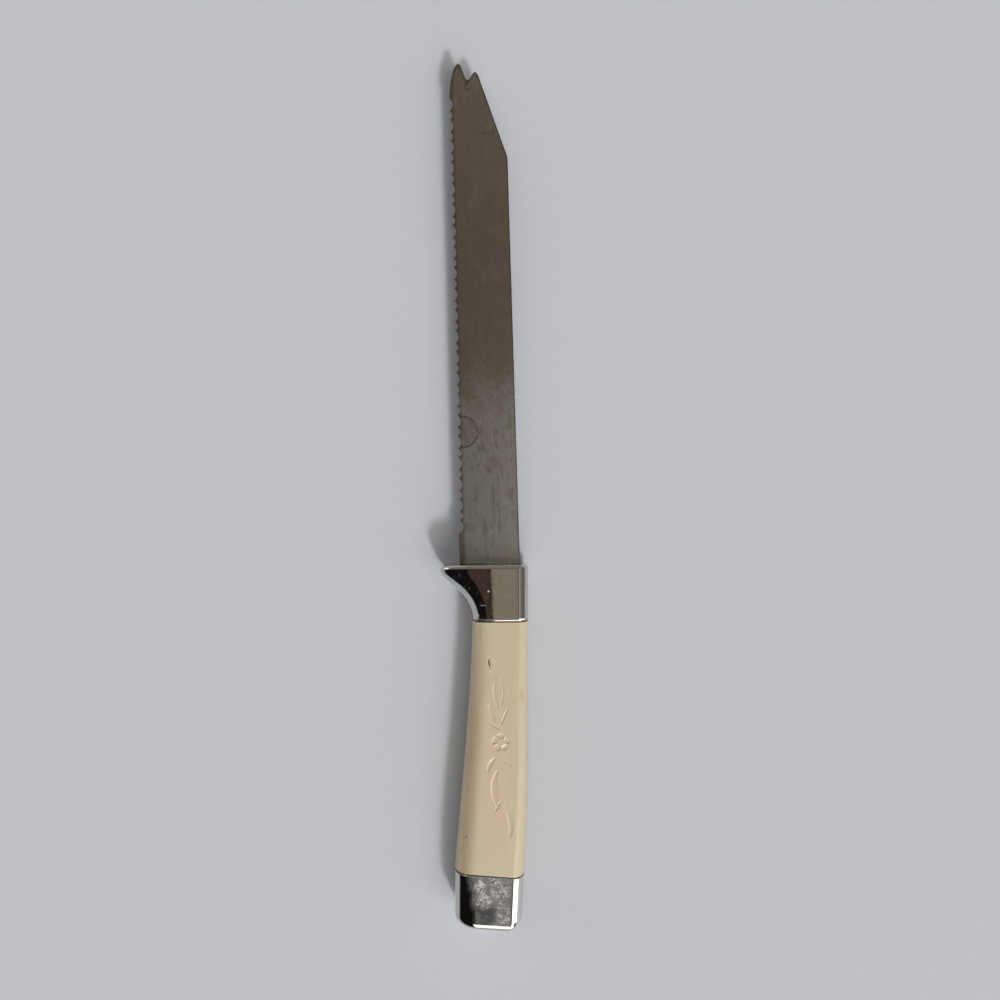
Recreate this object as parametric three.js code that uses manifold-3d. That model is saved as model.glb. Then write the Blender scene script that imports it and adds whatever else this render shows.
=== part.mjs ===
// Frozen food knife: a scalloped steel blade with a forked tip, a cast bolster with a finger guard,
// a moulded grip and a cast end cap. A rod brazed to the blade's tang runs down the grip, and a nut
// under the cap draws the handle together.
// Millimetres. The knife lies flat: +Y runs along the spine to the tip, +X is the spine side, +Z is up.
// It is drawn from the point where the spine meets the bolster, half way up the handle, and the last
// lines move the whole knife so that the origin is under the middle of its box.
import * as THREE from "three";
import { mergeVertices } from "three/addons/utils/BufferGeometryUtils.js";
import Module from "manifold-3d";

const wasm = await Module();
wasm.setup();

// Clearance between pieces that touch, and how far a cutter runs past the face it opens
const GAP = 0.3;
const OVERRUN = 1;

// Blade
const BLADE_THICKNESS = 1.6;
const HEEL_WIDTH = 22.2;
const HEEL_LENGTH = 12.4;
const EDGE_WIDTH_AT_HEEL = 21.7;
const EDGE_WIDTH_AT_BELLY = 20.85;
const SCALLOP_PAIRS = 20;
const WIDE_SCALLOP = { length: 4.59, depth: 1.1 };
const NARROW_SCALLOP = { length: 3.19, depth: 0.95 };
const SCALLOP_STEPS = 6;
const GRIND_WIDTH = 3.6;
const EDGE_THICKNESS = 0.4;
const CLIP_CORNER = 150.3;
const SHORT_PRONG = { outer: [-10.2, 181.45], tip: [-10.75, 182.55], inner: [-11.6, 181.5] };
const NOTCH = { right: [-13.3, 179.35], floor: [-14.0, 178.65], left: [-14.6, 179.5] };
const LONG_PRONG = { inner: [-15.95, 184.35], tip: [-16.95, 186.25], outer: [-18.3, 184.75] };
const BELLY_SWELL = [-20.6, 180.15];

// Handle as a whole: its drop from the line of the spine, and its thickness
const HANDLE_DROP = THREE.MathUtils.degToRad(1.2);
const HANDLE_THICKNESS = 15;
const HALF_THICKNESS = HANDLE_THICKNESS / 2;
const CORNER_STEPS = 7;

// Bolster
const BOLSTER_LENGTH = 20;
const BOLSTER_SPINE_FRONT = 2.95;
const BOLSTER_SPINE_REAR = 2.75;
const BOLSTER_FRONT_ROUND = 1.5;
const BOLSTER_REAR_ROUND = 0.9;
const HORN_FRONT = [-27.4, 0];
const HORN_NOSE = [[-28.5, 0], [-29.17, -0.7]];
const HORN_TIP = [-29.17, -1.7];
const HORN_UNDERSIDE = [[-29.17, -3.4], [-27, -5.14]];
const HORN_ROOT = [-25, -6.8];
const FINGER_REST = [[-20.77, -10.32], [-17.7, -14.5]];
const GUARD_REAR = [-17.7, -BOLSTER_LENGTH];
const GUARD_STEPS = 8;
const GUARD_ROUND_AT_HORN = 8.1;
const GUARD_ROUND_AT_REAR = 5.4;
const GUARD_RISE = 6.8;
const POCKET_DEPTH = 5;

// Grip
const GRIP_WIDTH_FRONT = 20.45;
const GRIP_WIDTH_REAR = 25.5;
const GRIP_LENGTH = 91.9;
const GRIP_DRIFT = 4.73;
const GRIP_EARLY_PULL = 0.67;
const GRIP_LATE_PULL = 2.06;
const SEAM_TURN = THREE.MathUtils.degToRad(-3.707);
const EDGE_CORNER_FRONT = { round: 2.9, rise: 6.8 };
const SPINE_CORNER_FRONT = { round: 3.8, rise: 4 };
const CORNER_REAR = { round: 4.1, rise: 6.8 };
const GRIP_STEPS = 14;
const FRONT_TENON = { length: 4.5, inset: 2.6 };
const REAR_TENON = { length: 8, inset: 3 };

// End cap
const CAP_LENGTH = 20.4;
const CAP_TAPER = 0.6;
const CAP_WALL = 1.6;
const CAP_CAVITY_DEPTH = 15.7;
const CAP_END = { length: 4.2, sideInset: 6.2, faceInset: 3.4, steps: 7 };
const CAP_CEMENT = { outerInset: 1.9, innerInset: 2.7, start: 0.5, length: 7 };

// Tang, rod and fixings
const TANG = { thickness: 1.4, width: 9, tipWidth: 4.6, shoulder: 9, taperEnd: 11.5, length: 26 };
const ROD = { diameter: 5, start: 12.3, pastNut: 1.5 };
const ROD_BORE = 5.8;
const SOCKET = { width: 11.6, height: 5.6, depth: 12 };
const WASHER = { diameter: 9, bore: 5.6, thickness: 1 };
const NUT = { acrossFlats: 8, thickness: 4 };
const ROUND_SIDES = 32;

// The grip's front is centred on the rear of the bolster, and its middle line bends towards the edge side.
const GRIP_CENTRE = BOLSTER_SPINE_REAR - GRIP_WIDTH_FRONT / 2;
const [gripFront, gripEarly, gripLate, gripRear] = [0, GRIP_EARLY_PULL, GRIP_LATE_PULL, GRIP_DRIFT].map(
  (drift, third) => new THREE.Vector2(GRIP_CENTRE - drift, -BOLSTER_LENGTH - (GRIP_LENGTH * third) / 3),
);
const middleLine = new THREE.CubicBezierCurve(gripFront, gripEarly, gripLate, gripRear);

// The rod runs straight from the middle of the bolster's rear to the middle of the cap's seam.
const ROD_LEAN = Math.atan2(GRIP_DRIFT, GRIP_LENGTH);
const ROD_RUN = gripFront.distanceTo(gripRear);
const WASHER_AT = ROD_RUN + REAR_TENON.length + GAP;
const NUT_AT = WASHER_AT + WASHER.thickness + GAP;
const ROD_END = NUT_AT + NUT.thickness + ROD.pastNut;

const finishes = {
  steel: new THREE.MeshStandardMaterial({ color: 0x6e675e, roughness: 0.42, metalness: 1 }),
  chrome: new THREE.MeshStandardMaterial({ color: 0xb5aea3, roughness: 0.12, metalness: 1 }),
  cream: new THREE.MeshStandardMaterial({ color: 0xd9c6a3, roughness: 0.4, metalness: 0 }),
  zinc: new THREE.MeshStandardMaterial({ color: 0x8d8f90, roughness: 0.4, metalness: 1 }),
  cement: new THREE.MeshStandardMaterial({ color: 0x4a3323, roughness: 0.8, metalness: 0 }),
};

// Solids from geometry, for cutting, and back again
function solidOf(geometry) {
  const bare = geometry.clone();
  bare.deleteAttribute("normal");
  bare.deleteAttribute("uv");
  const merged = mergeVertices(bare);
  const vertProperties = new Float32Array(merged.attributes.position.array);
  const triVerts = new Uint32Array(merged.index.array);
  return new wasm.Manifold(new wasm.Mesh({ numProp: 3, vertProperties, triVerts }));
}

function geometryOf(solid) {
  const { vertProperties, triVerts } = solid.getMesh();
  const geometry = new THREE.BufferGeometry();
  geometry.setAttribute("position", new THREE.BufferAttribute(vertProperties, 3));
  geometry.setIndex(new THREE.BufferAttribute(triVerts, 1));
  geometry.computeVertexNormals();
  return geometry;
}

function cut(geometry, ...cutters) {
  const cutAway = (solid, cutter) => solid.subtract(solidOf(cutter));
  return geometryOf(cutters.reduce(cutAway, solidOf(geometry)));
}

function piece(name, geometry, finish) {
  const mesh = new THREE.Mesh(geometry, finish);
  mesh.name = name;
  return mesh;
}

// A section across the handle with flat faces, as points (x, z) that go round it once. Each side is a
// distance from the middle with the width and the rise of its rounded corners, and an inset shrinks it all.
function section(edgeSide, spineSide, half, inset = 0, sideInset = inset) {
  const corners = [
    { side: spineSide, across: 1, up: -1 },
    { side: spineSide, across: 1, up: 1 },
    { side: edgeSide, across: -1, up: 1 },
    { side: edgeSide, across: -1, up: -1 },
  ];
  return corners.flatMap(({ side, across, up }, quarter) => {
    const round = Math.max(side.round - inset, GAP);
    const rise = Math.max(side.rise - inset, GAP);
    const middle = new THREE.Vector2(
      across * (side.at - sideInset - round),
      up * (half - inset - rise),
    );
    return Array.from({ length: CORNER_STEPS + 1 }, (_, step) => {
      const angle = (Math.PI / 2) * (quarter - 1 + step / CORNER_STEPS);
      return new THREE.Vector2(round * Math.cos(angle), rise * Math.sin(angle)).add(middle);
    });
  });
}

// A section stood across a line at a place, turned by an angle about the vertical
function ringAt(place, turn, points) {
  return points.map(({ x, y }) => new THREE.Vector3(
    place.x + x * Math.cos(turn),
    place.y + x * Math.sin(turn),
    y,
  ));
}

// A closed skin over rings that run from front to rear, each with the same number of points
function loft(rings) {
  const count = rings[0].length;
  const last = (rings.length - 1) * count;
  const index = [];
  for (let first = 0; first < last; first += count) {
    for (let i = 0; i < count; i += 1) {
      const here = first + i;
      const next = first + ((i + 1) % count);
      index.push(here, next, here + count, next, next + count, here + count);
    }
  }
  for (let i = 1; i + 1 < count; i += 1) {
    index.push(0, i + 1, i, last, last + i, last + i + 1);
  }
  const geometry = new THREE.BufferGeometry().setFromPoints(rings.flat());
  geometry.setIndex(index);
  geometry.computeVertexNormals();
  return geometry;
}

// A point of the tang in the blade's drawing: back along the rod's line from the bolster's rear, and
// across it
function onRodLine(back, across) {
  const origin = new THREE.Vector2();
  return new THREE.Vector2(across, -back)
    .rotateAround(origin, -ROD_LEAN)
    .add(gripFront)
    .rotateAround(origin, -HANDLE_DROP);
}

// A box and a cylinder along the rod's line, between two distances behind the bolster's rear
function boxOnRod(width, height, from, to) {
  return new THREE.BoxGeometry(width, to - from, height).translate(0, -(from + to) / 2, 0);
}

function cylinderOnRod(diameter, from, to) {
  const radius = diameter / 2;
  return new THREE.CylinderGeometry(radius, radius, to - from, ROUND_SIDES)
    .translate(0, -(from + to) / 2, 0);
}

function intoHandle(geometry) {
  return geometry.rotateZ(-ROD_LEAN).translate(gripFront.x, gripFront.y, 0);
}

// Blade: flat stock stamped to its outline, with the scalloped edge ground from the underside and the
// tang ground a little thinner than the blade on both faces
function bladeOutline() {
  const outline = new THREE.Shape();
  const shoulderAt = (x) => GAP - x * Math.tan(HANDLE_DROP);
  outline.moveTo(0, shoulderAt(0));
  outline.lineTo(0, CLIP_CORNER);
  outline.lineTo(...SHORT_PRONG.outer);
  outline.quadraticCurveTo(...SHORT_PRONG.tip, ...SHORT_PRONG.inner);
  outline.lineTo(...NOTCH.right);
  outline.quadraticCurveTo(...NOTCH.floor, ...NOTCH.left);
  outline.lineTo(...LONG_PRONG.inner);
  outline.quadraticCurveTo(...LONG_PRONG.tip, ...LONG_PRONG.outer);

  const pair = WIDE_SCALLOP.length + NARROW_SCALLOP.length;
  const edgeRun = SCALLOP_PAIRS * pair + WIDE_SCALLOP.length;
  const edgeAt = (y) => -THREE.MathUtils.mapLinear(
    y, HEEL_LENGTH, HEEL_LENGTH + edgeRun, EDGE_WIDTH_AT_HEEL, EDGE_WIDTH_AT_BELLY,
  );
  let y = HEEL_LENGTH + edgeRun;
  outline.quadraticCurveTo(...BELLY_SWELL, edgeAt(y), y);
  for (let i = 0; i < 2 * SCALLOP_PAIRS + 1; i += 1) {
    const { length, depth } = i % 2 ? NARROW_SCALLOP : WIDE_SCALLOP;
    const middle = y - length / 2;
    y -= length;
    outline.quadraticCurveTo(edgeAt(middle) + 2 * depth, middle, edgeAt(y), y);
  }
  outline.lineTo(-HEEL_WIDTH, HEEL_LENGTH);
  outline.lineTo(-HEEL_WIDTH, shoulderAt(-HEEL_WIDTH));

  const tangEdgeSide = onRodLine(-BOLSTER_LENGTH, -TANG.width / 2).x;
  const tangSpineSide = onRodLine(-BOLSTER_LENGTH, TANG.width / 2).x;
  outline.lineTo(tangEdgeSide, shoulderAt(tangEdgeSide));
  const tang = [
    [TANG.shoulder, -TANG.width],
    [TANG.taperEnd, -TANG.tipWidth],
    [TANG.length, -TANG.tipWidth],
    [TANG.length, TANG.tipWidth],
    [TANG.taperEnd, TANG.tipWidth],
    [TANG.shoulder, TANG.width],
  ];
  for (const [back, width] of tang) {
    const corner = onRodLine(back, width / 2);
    outline.lineTo(corner.x, corner.y);
  }
  outline.lineTo(tangSpineSide, shoulderAt(tangSpineSide));
  outline.closePath();
  return { outline, edgeRun };
}

function blade() {
  const { outline, edgeRun } = bladeOutline();
  const stamping = new THREE.ExtrudeGeometry(outline, {
    depth: BLADE_THICKNESS,
    bevelEnabled: false,
    curveSegments: SCALLOP_STEPS,
  }).translate(0, 0, -BLADE_THICKNESS / 2);

  const underside = -BLADE_THICKNESS / 2;
  const wedge = new THREE.Shape([
    new THREE.Vector2(GRIND_WIDTH, underside),
    new THREE.Vector2(-OVERRUN, underside + BLADE_THICKNESS - EDGE_THICKNESS),
    new THREE.Vector2(-OVERRUN, underside - OVERRUN),
    new THREE.Vector2(GRIND_WIDTH, underside - OVERRUN),
  ]);
  const edgeLean = Math.atan2(EDGE_WIDTH_AT_HEEL - EDGE_WIDTH_AT_BELLY, edgeRun);
  const grind = new THREE.ExtrudeGeometry(wedge, { depth: edgeRun, bevelEnabled: false })
    .rotateX(Math.PI / 2)
    .rotateZ(-edgeLean)
    .translate(-EDGE_WIDTH_AT_BELLY, HEEL_LENGTH + edgeRun, 0);

  const tangRun = GAP / 2 + BOLSTER_LENGTH + TANG.length + OVERRUN;
  const tangReliefs = [-1, 1].map((face) => (
    new THREE.BoxGeometry(2 * HEEL_WIDTH, tangRun, OVERRUN)
      .translate(0, (GAP - tangRun) / 2, (face * (TANG.thickness + OVERRUN)) / 2)
      .rotateZ(-HANDLE_DROP)
  ));
  return piece("blade", cut(stamping, grind, ...tangReliefs), finishes.steel);
}

// Bolster: a casting with a horn that guards the finger, pocketed for the grip and slotted for the tang
function bolster() {
  const guard = new THREE.Path();
  guard.moveTo(...HORN_FRONT);
  guard.bezierCurveTo(...HORN_NOSE[0], ...HORN_NOSE[1], ...HORN_TIP);
  guard.bezierCurveTo(...HORN_UNDERSIDE[0], ...HORN_UNDERSIDE[1], ...HORN_ROOT);
  guard.bezierCurveTo(...FINGER_REST[0], ...FINGER_REST[1], ...GUARD_REAR);
  const rearRoundAt = BOLSTER_REAR_ROUND - BOLSTER_LENGTH;
  const places = guard.getPoints(GUARD_STEPS).filter(({ y }) => y > rearRoundAt);
  for (let i = 0; i <= CORNER_STEPS; i += 1) {
    const angle = ((Math.PI / 2) * i) / CORNER_STEPS;
    places.push(new THREE.Vector2(GUARD_REAR[0], rearRoundAt - BOLSTER_REAR_ROUND * Math.sin(angle)));
  }

  const roundedBy = (depth, radius) => (
    depth < radius ? radius - Math.sqrt(radius ** 2 - (radius - depth) ** 2) : 0
  );
  const rings = places.map(({ x, y }) => {
    const edgeRound = THREE.MathUtils.mapLinear(
      x, GUARD_REAR[0], HORN_TIP[0], GUARD_ROUND_AT_REAR, GUARD_ROUND_AT_HORN,
    );
    const spine = THREE.MathUtils.mapLinear(y, 0, -BOLSTER_LENGTH, BOLSTER_SPINE_FRONT, BOLSTER_SPINE_REAR);
    const inset = roundedBy(-y, BOLSTER_FRONT_ROUND) + roundedBy(y + BOLSTER_LENGTH, BOLSTER_REAR_ROUND);
    const edgeSide = { at: -x, round: edgeRound, rise: GUARD_RISE };
    const spineSide = { at: spine, ...SPINE_CORNER_FRONT };
    return ringAt(new THREE.Vector2(0, y), 0, section(edgeSide, spineSide, HALF_THICKNESS, inset));
  });

  const pocketSection = gripSection(0, FRONT_TENON.inset - GAP);
  const pocket = loft([POCKET_DEPTH, -OVERRUN].map(
    (ahead) => ringAt(new THREE.Vector2(gripFront.x, gripFront.y + ahead), 0, pocketSection),
  ));
  const slot = intoHandle(boxOnRod(
    TANG.width + 2 * GAP, TANG.thickness + 2 * GAP, -BOLSTER_LENGTH - OVERRUN, 0,
  ));
  return piece("bolster", cut(loft(rings), pocket, slot), finishes.chrome);
}

// Grip: a moulding that flares to the rear, with a tenon at each end and a bore for the rod
function gripSection(along, inset = 0) {
  const flare = THREE.MathUtils.smoothstep(along, 0, 1);
  const width = THREE.MathUtils.lerp(GRIP_WIDTH_FRONT, GRIP_WIDTH_REAR, flare);
  const [edgeSide, spineSide] = [EDGE_CORNER_FRONT, SPINE_CORNER_FRONT].map((front) => ({
    at: width / 2,
    round: THREE.MathUtils.lerp(front.round, CORNER_REAR.round, along),
    rise: THREE.MathUtils.lerp(front.rise, CORNER_REAR.rise, along),
  }));
  return section(edgeSide, spineSide, HALF_THICKNESS, inset);
}

function turnAt(along) {
  return SEAM_TURN * along;
}

// A place behind the seam, on the line that the end cap points along
function behindSeam(distance) {
  return new THREE.Vector2(gripRear.x, gripRear.y - distance).rotateAround(gripRear, SEAM_TURN);
}

function grip() {
  const frontFace = new THREE.Vector2(gripFront.x, gripFront.y + FRONT_TENON.length);
  const shoulder = new THREE.Vector2(gripFront.x, gripFront.y - GAP);
  const rings = [
    ringAt(frontFace, 0, gripSection(0, FRONT_TENON.inset)),
    ringAt(shoulder, 0, gripSection(0, FRONT_TENON.inset)),
    ringAt(shoulder, 0, gripSection(0)),
  ];
  for (let i = 1; i <= GRIP_STEPS; i += 1) {
    const along = i / GRIP_STEPS;
    rings.push(ringAt(middleLine.getPoint(along), turnAt(along), gripSection(along)));
  }
  rings.push(
    ringAt(gripRear, turnAt(1), gripSection(1, REAR_TENON.inset)),
    ringAt(behindSeam(REAR_TENON.length), turnAt(1), gripSection(1, REAR_TENON.inset)),
  );
  const bore = intoHandle(cylinderOnRod(ROD_BORE, 0, ROD_RUN + REAR_TENON.length + OVERRUN));
  const socket = intoHandle(boxOnRod(
    SOCKET.width, SOCKET.height, -FRONT_TENON.length - OVERRUN, SOCKET.depth,
  ));
  return piece("grip", cut(loft(rings), bore, socket), finishes.cream);
}

// End cap: a hollow casting with a rounded end, cemented over the grip's rear tenon
function capRing(distance, inset = 0, sideInset = inset) {
  const taper = (CAP_TAPER * distance) / CAP_LENGTH;
  const side = { at: GRIP_WIDTH_REAR / 2 - taper, ...CORNER_REAR };
  return ringAt(behindSeam(distance), turnAt(1), section(side, side, HALF_THICKNESS, inset, sideInset));
}

function pommelCap() {
  const rings = [capRing(GAP)];
  for (let i = 0; i <= CAP_END.steps; i += 1) {
    const angle = ((Math.PI / 2) * i) / CAP_END.steps;
    const distance = CAP_LENGTH - CAP_END.length * (1 - Math.sin(angle));
    const drawnIn = 1 - Math.cos(angle);
    rings.push(capRing(distance, CAP_END.faceInset * drawnIn, CAP_END.sideInset * drawnIn));
  }
  const cavity = loft([capRing(-OVERRUN, CAP_WALL), capRing(CAP_CAVITY_DEPTH, CAP_WALL)]);
  return piece("pommel_cap", cut(loft(rings), cavity), finishes.chrome);
}

function capCement() {
  const { outerInset, innerInset, start, length } = CAP_CEMENT;
  const end = start + length;
  const sleeve = loft([capRing(start, outerInset), capRing(end, outerInset)]);
  const hollow = loft([capRing(start - OVERRUN, innerInset), capRing(end + OVERRUN, innerInset)]);
  return piece("cap_cement", cut(sleeve, hollow), finishes.cement);
}

// Rod: forked at the front to take the tang's tip, threaded at the rear
function tangRod() {
  const fork = boxOnRod(
    ROD.diameter + OVERRUN, TANG.thickness + 2 * GAP, ROD.start - OVERRUN, TANG.length + GAP,
  );
  return piece("tang_rod", cut(cylinderOnRod(ROD.diameter, ROD.start, ROD_END), fork), finishes.zinc);
}

function tangCement() {
  const block = boxOnRod(
    SOCKET.width - 2 * GAP, SOCKET.height - 2 * GAP, GAP - FRONT_TENON.length, TANG.taperEnd,
  );
  const slot = boxOnRod(
    TANG.width + 2 * GAP, TANG.thickness + 2 * GAP, -FRONT_TENON.length - OVERRUN, TANG.taperEnd + OVERRUN,
  );
  return piece("tang_cement", cut(block, slot), finishes.cement);
}

function tangWasher() {
  const disc = cylinderOnRod(WASHER.diameter, WASHER_AT, WASHER_AT + WASHER.thickness);
  const hole = cylinderOnRod(WASHER.bore, WASHER_AT - OVERRUN, WASHER_AT + WASHER.thickness + OVERRUN);
  return piece("tang_washer", cut(disc, hole), finishes.zinc);
}

function tangNut() {
  const corner = NUT.acrossFlats / Math.sqrt(3);
  const hexagon = new THREE.CylinderGeometry(corner, corner, NUT.thickness, 6)
    .translate(0, -NUT_AT - NUT.thickness / 2, 0);
  const hole = cylinderOnRod(WASHER.bore, NUT_AT - OVERRUN, NUT_AT + NUT.thickness + OVERRUN);
  return piece("tang_nut", cut(hexagon, hole), finishes.zinc);
}

const rodLine = new THREE.Group();
rodLine.position.set(gripFront.x, gripFront.y, 0);
rodLine.rotation.z = -ROD_LEAN;
rodLine.add(tangRod(), tangCement(), tangWasher(), tangNut());

const handle = new THREE.Group();
handle.rotation.z = -HANDLE_DROP;
handle.add(bolster(), grip(), pommelCap(), capCement(), rodLine);

const drawing = new THREE.Group();
drawing.add(blade(), handle);

const box = new THREE.Box3().setFromObject(drawing, true);
const centre = box.getCenter(new THREE.Vector3());
drawing.position.set(-centre.x, -centre.y, -box.min.z);

const knife = new THREE.Group();
knife.name = "frozen_food_knife";
knife.add(drawing);

export default knife;
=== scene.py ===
# A frozen food knife lying on its side: a scalloped blade with a forked tip, a plated bolster with a
# finger guard, a cream moulded grip with an incised sprig, and a plated end cap.
import math

import bmesh
import bpy
import numpy as np
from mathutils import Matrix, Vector


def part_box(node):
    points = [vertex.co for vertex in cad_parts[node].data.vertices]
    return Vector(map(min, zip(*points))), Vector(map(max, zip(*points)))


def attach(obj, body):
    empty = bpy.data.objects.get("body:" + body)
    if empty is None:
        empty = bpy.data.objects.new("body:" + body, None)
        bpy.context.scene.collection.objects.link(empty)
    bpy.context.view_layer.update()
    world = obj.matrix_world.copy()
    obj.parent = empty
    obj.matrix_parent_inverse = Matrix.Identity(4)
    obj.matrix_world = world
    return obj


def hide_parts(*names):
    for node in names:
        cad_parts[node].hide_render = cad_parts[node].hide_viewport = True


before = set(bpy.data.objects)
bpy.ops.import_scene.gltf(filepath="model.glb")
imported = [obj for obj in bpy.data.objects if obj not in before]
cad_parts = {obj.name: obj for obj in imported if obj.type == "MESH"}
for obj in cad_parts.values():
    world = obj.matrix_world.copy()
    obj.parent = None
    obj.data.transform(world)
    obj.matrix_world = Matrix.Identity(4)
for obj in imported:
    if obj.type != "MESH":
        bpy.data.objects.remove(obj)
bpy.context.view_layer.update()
scene = bpy.context.scene

# Camera: straight above the knife, turned so that the knife leans a little in a square picture.
# The knife is drawn in millimetres from the point where the spine meets the bolster, half way up the
# handle, with +Y to the tip and +X to the spine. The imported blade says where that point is.
MM = 0.001
BLADE_REACH = 185.4
CAMERA_AT = (-6.62, 24.08, 290.45)
CAMERA_TURN = math.radians(-1.742)
PICTURE_WIDTH = 369.83

blade_low, blade_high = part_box("blade")
DATUM = np.array([
    blade_high.x,
    blade_high.y - BLADE_REACH * MM,
    (blade_low.z + blade_high.z) / 2,
])


def in_frame(points):
    """Points of the knife's drawing, in millimetres, as places in the frame, in metres."""
    return np.asarray(points, float) * MM + DATUM


camera = bpy.data.objects.new("camera", bpy.data.cameras.new("camera"))
camera.location = in_frame(CAMERA_AT)
camera.rotation_euler = (0, 0, CAMERA_TURN)
camera.data.lens = camera.data.sensor_width * CAMERA_AT[2] / PICTURE_WIDTH
scene.collection.objects.link(camera)
scene.camera = camera


# Table and light: a plain pale table and backdrop, a key light low in front and to the right, a soft fill
# light from the left, and a room that the plating mirrors: bright in front, on the right and far back on
# the left, dark on the left, dim overhead. The backdrop is only seen, and sheds no light.
class Wire:
    """An output of a node tree. Arithmetic adds Math nodes, and node() adds a node of any other kind."""

    def __init__(self, tree, socket=None):
        self.tree = tree
        self.socket = socket

    def node(self, kind, settings=(), inputs=(), output=0):
        made = self.tree.nodes.new(kind)
        for name, value in dict(settings).items():
            setattr(made, name, value)
        for name, value in dict(inputs).items():
            for one in value if isinstance(value, list) else [value]:
                if isinstance(one, Wire):
                    self.tree.links.new(one.socket, made.inputs[name])
                else:
                    made.inputs[name].default_value = one
        return Wire(self.tree, made.outputs[output] if made.outputs else None)

    def math(self, operation, *terms):
        return self.node("ShaderNodeMath", {"operation": operation}, enumerate(terms))

    def __add__(self, other):
        return self.math("ADD", self, other)

    def __sub__(self, other):
        return self.math("SUBTRACT", self, other)

    def __rsub__(self, other):
        return self.math("SUBTRACT", other, self)

    def __mul__(self, other):
        return self.math("MULTIPLY", self, other)

    def __truediv__(self, other):
        return self.math("DIVIDE", self, other)

    def __pow__(self, other):
        return self.math("POWER", self, other)

    __radd__ = __add__
    __rmul__ = __mul__


def ramp(value, low, high):
    """0 up to low and 1 from high, with a smooth slope between, or the other way if low is above high."""
    limits = {"Value": value, "From Min": low, "From Max": high}
    return value.node("ShaderNodeMapRange", {"interpolation_type": "SMOOTHSTEP"}, limits)


def blend(amount, first, second):
    """The first colour, with that amount of the second over it."""
    return amount.node("ShaderNodeMix", {"data_type": "RGBA"}, {0: amount, 6: first, 7: second}, output=2)


def parts_of(vector):
    """The X, Y and Z of a vector."""
    return [vector.node("ShaderNodeSeparateXYZ", (), {"Vector": vector}, output=i) for i in range(3)]


TABLE_COLOUR = (0.475, 0.495, 0.527, 1)
TABLE_HALF = 4.0
BACKDROP_GLOW = (0.56, 0.575, 0.60, 1)
BACKDROP_HEIGHT = 4.0
KEY_DIRECTION = Vector((0.312, -0.735, 0.602))
KEY_ANGLE = math.radians(8)
KEY_SHARE = 0.38
FILL_DIRECTION = Vector((-0.62, 0.25, 0.75))
FILL_ANGLE = math.radians(70)
FILL_SHARE = 0.12
ROOM = {
    "overhead": (0.285, 0.258, 0.208, 1),
    "over the back": (0.072, 0.065, 0.056, 1),
    "far back": (0.240, 0.218, 0.192, 1),
    "over the front": (0.16, 0.155, 0.155, 1),
    "front": (1.90, 1.87, 1.83, 1),
    "beam": (0.05, 0.042, 0.037, 1),
    "right": (0.40, 0.37, 0.335, 1),
    "low right": (0.16, 0.15, 0.13, 1),
    "left": (0.070, 0.044, 0.038, 1),
    "door edge": (0.034, 0.031, 0.019, 1),
    "far left": (0.008, 0.007, 0.009, 1),
    "horizon": (0.30, 0.305, 0.305, 1),
    "low left": (0.45, 0.45, 0.44, 1),
    "back window": (1.60, 1.60, 1.64, 1),
    "right window": (3.20, 3.16, 3.08, 1),
    "corner": (0.06, 0.06, 0.06, 1),
}


def staged(name, corners, faces, sockets):
    """A plain sheet that the knife is seen on or against, with these sockets of its paint."""
    sheet = bpy.data.objects.new(name, bpy.data.meshes.new(name))
    sheet.data.from_pydata(corners, [], faces)
    paint = bpy.data.materials.new(name + "_paint")
    paint.use_nodes = True
    for socket, value in sockets.items():
        paint.node_tree.nodes["Principled BSDF"].inputs[socket].default_value = value
    sheet.data.materials.append(paint)
    scene.collection.objects.link(sheet)
    return sheet


table_corners = [(x * TABLE_HALF, y * TABLE_HALF, 0) for x, y in ((-1, -1), (1, -1), (1, 1), (-1, 1))]
staged("table", table_corners, [(0, 1, 2, 3)], {
    "Base Color": TABLE_COLOUR, "Roughness": 0.9, "Specular IOR Level": 0.1,
})
backdrop_corners = table_corners + [(x, y, BACKDROP_HEIGHT) for x, y, _ in table_corners]
backdrop_sides = [(i, (i + 1) % 4, (i + 1) % 4 + 4, i + 4) for i in range(4)]
backdrop = staged("backdrop", backdrop_corners, backdrop_sides, {
    "Base Color": (0, 0, 0, 1), "Specular IOR Level": 0.0,
    "Emission Color": BACKDROP_GLOW, "Emission Strength": 1.0,
})
backdrop.visible_diffuse = False
backdrop.visible_glossy = False
backdrop.visible_shadow = False

key = bpy.data.objects.new("key", bpy.data.lights.new("key", "SUN"))
key.data.energy = KEY_SHARE * math.pi / KEY_DIRECTION.normalized().z
key.data.angle = KEY_ANGLE
key.rotation_euler = KEY_DIRECTION.to_track_quat("Z", "Y").to_euler()
scene.collection.objects.link(key)

fill = bpy.data.objects.new("fill", bpy.data.lights.new("fill", "SUN"))
fill.data.energy = FILL_SHARE * math.pi / FILL_DIRECTION.normalized().z
fill.data.angle = FILL_ANGLE
fill.rotation_euler = FILL_DIRECTION.to_track_quat("Z", "Y").to_euler()
fill.visible_glossy = False
scene.collection.objects.link(fill)

room = bpy.data.worlds.new("room")
room.use_nodes = True
room.node_tree.nodes.clear()
scene.world = room
wires = Wire(room.node_tree)
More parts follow.
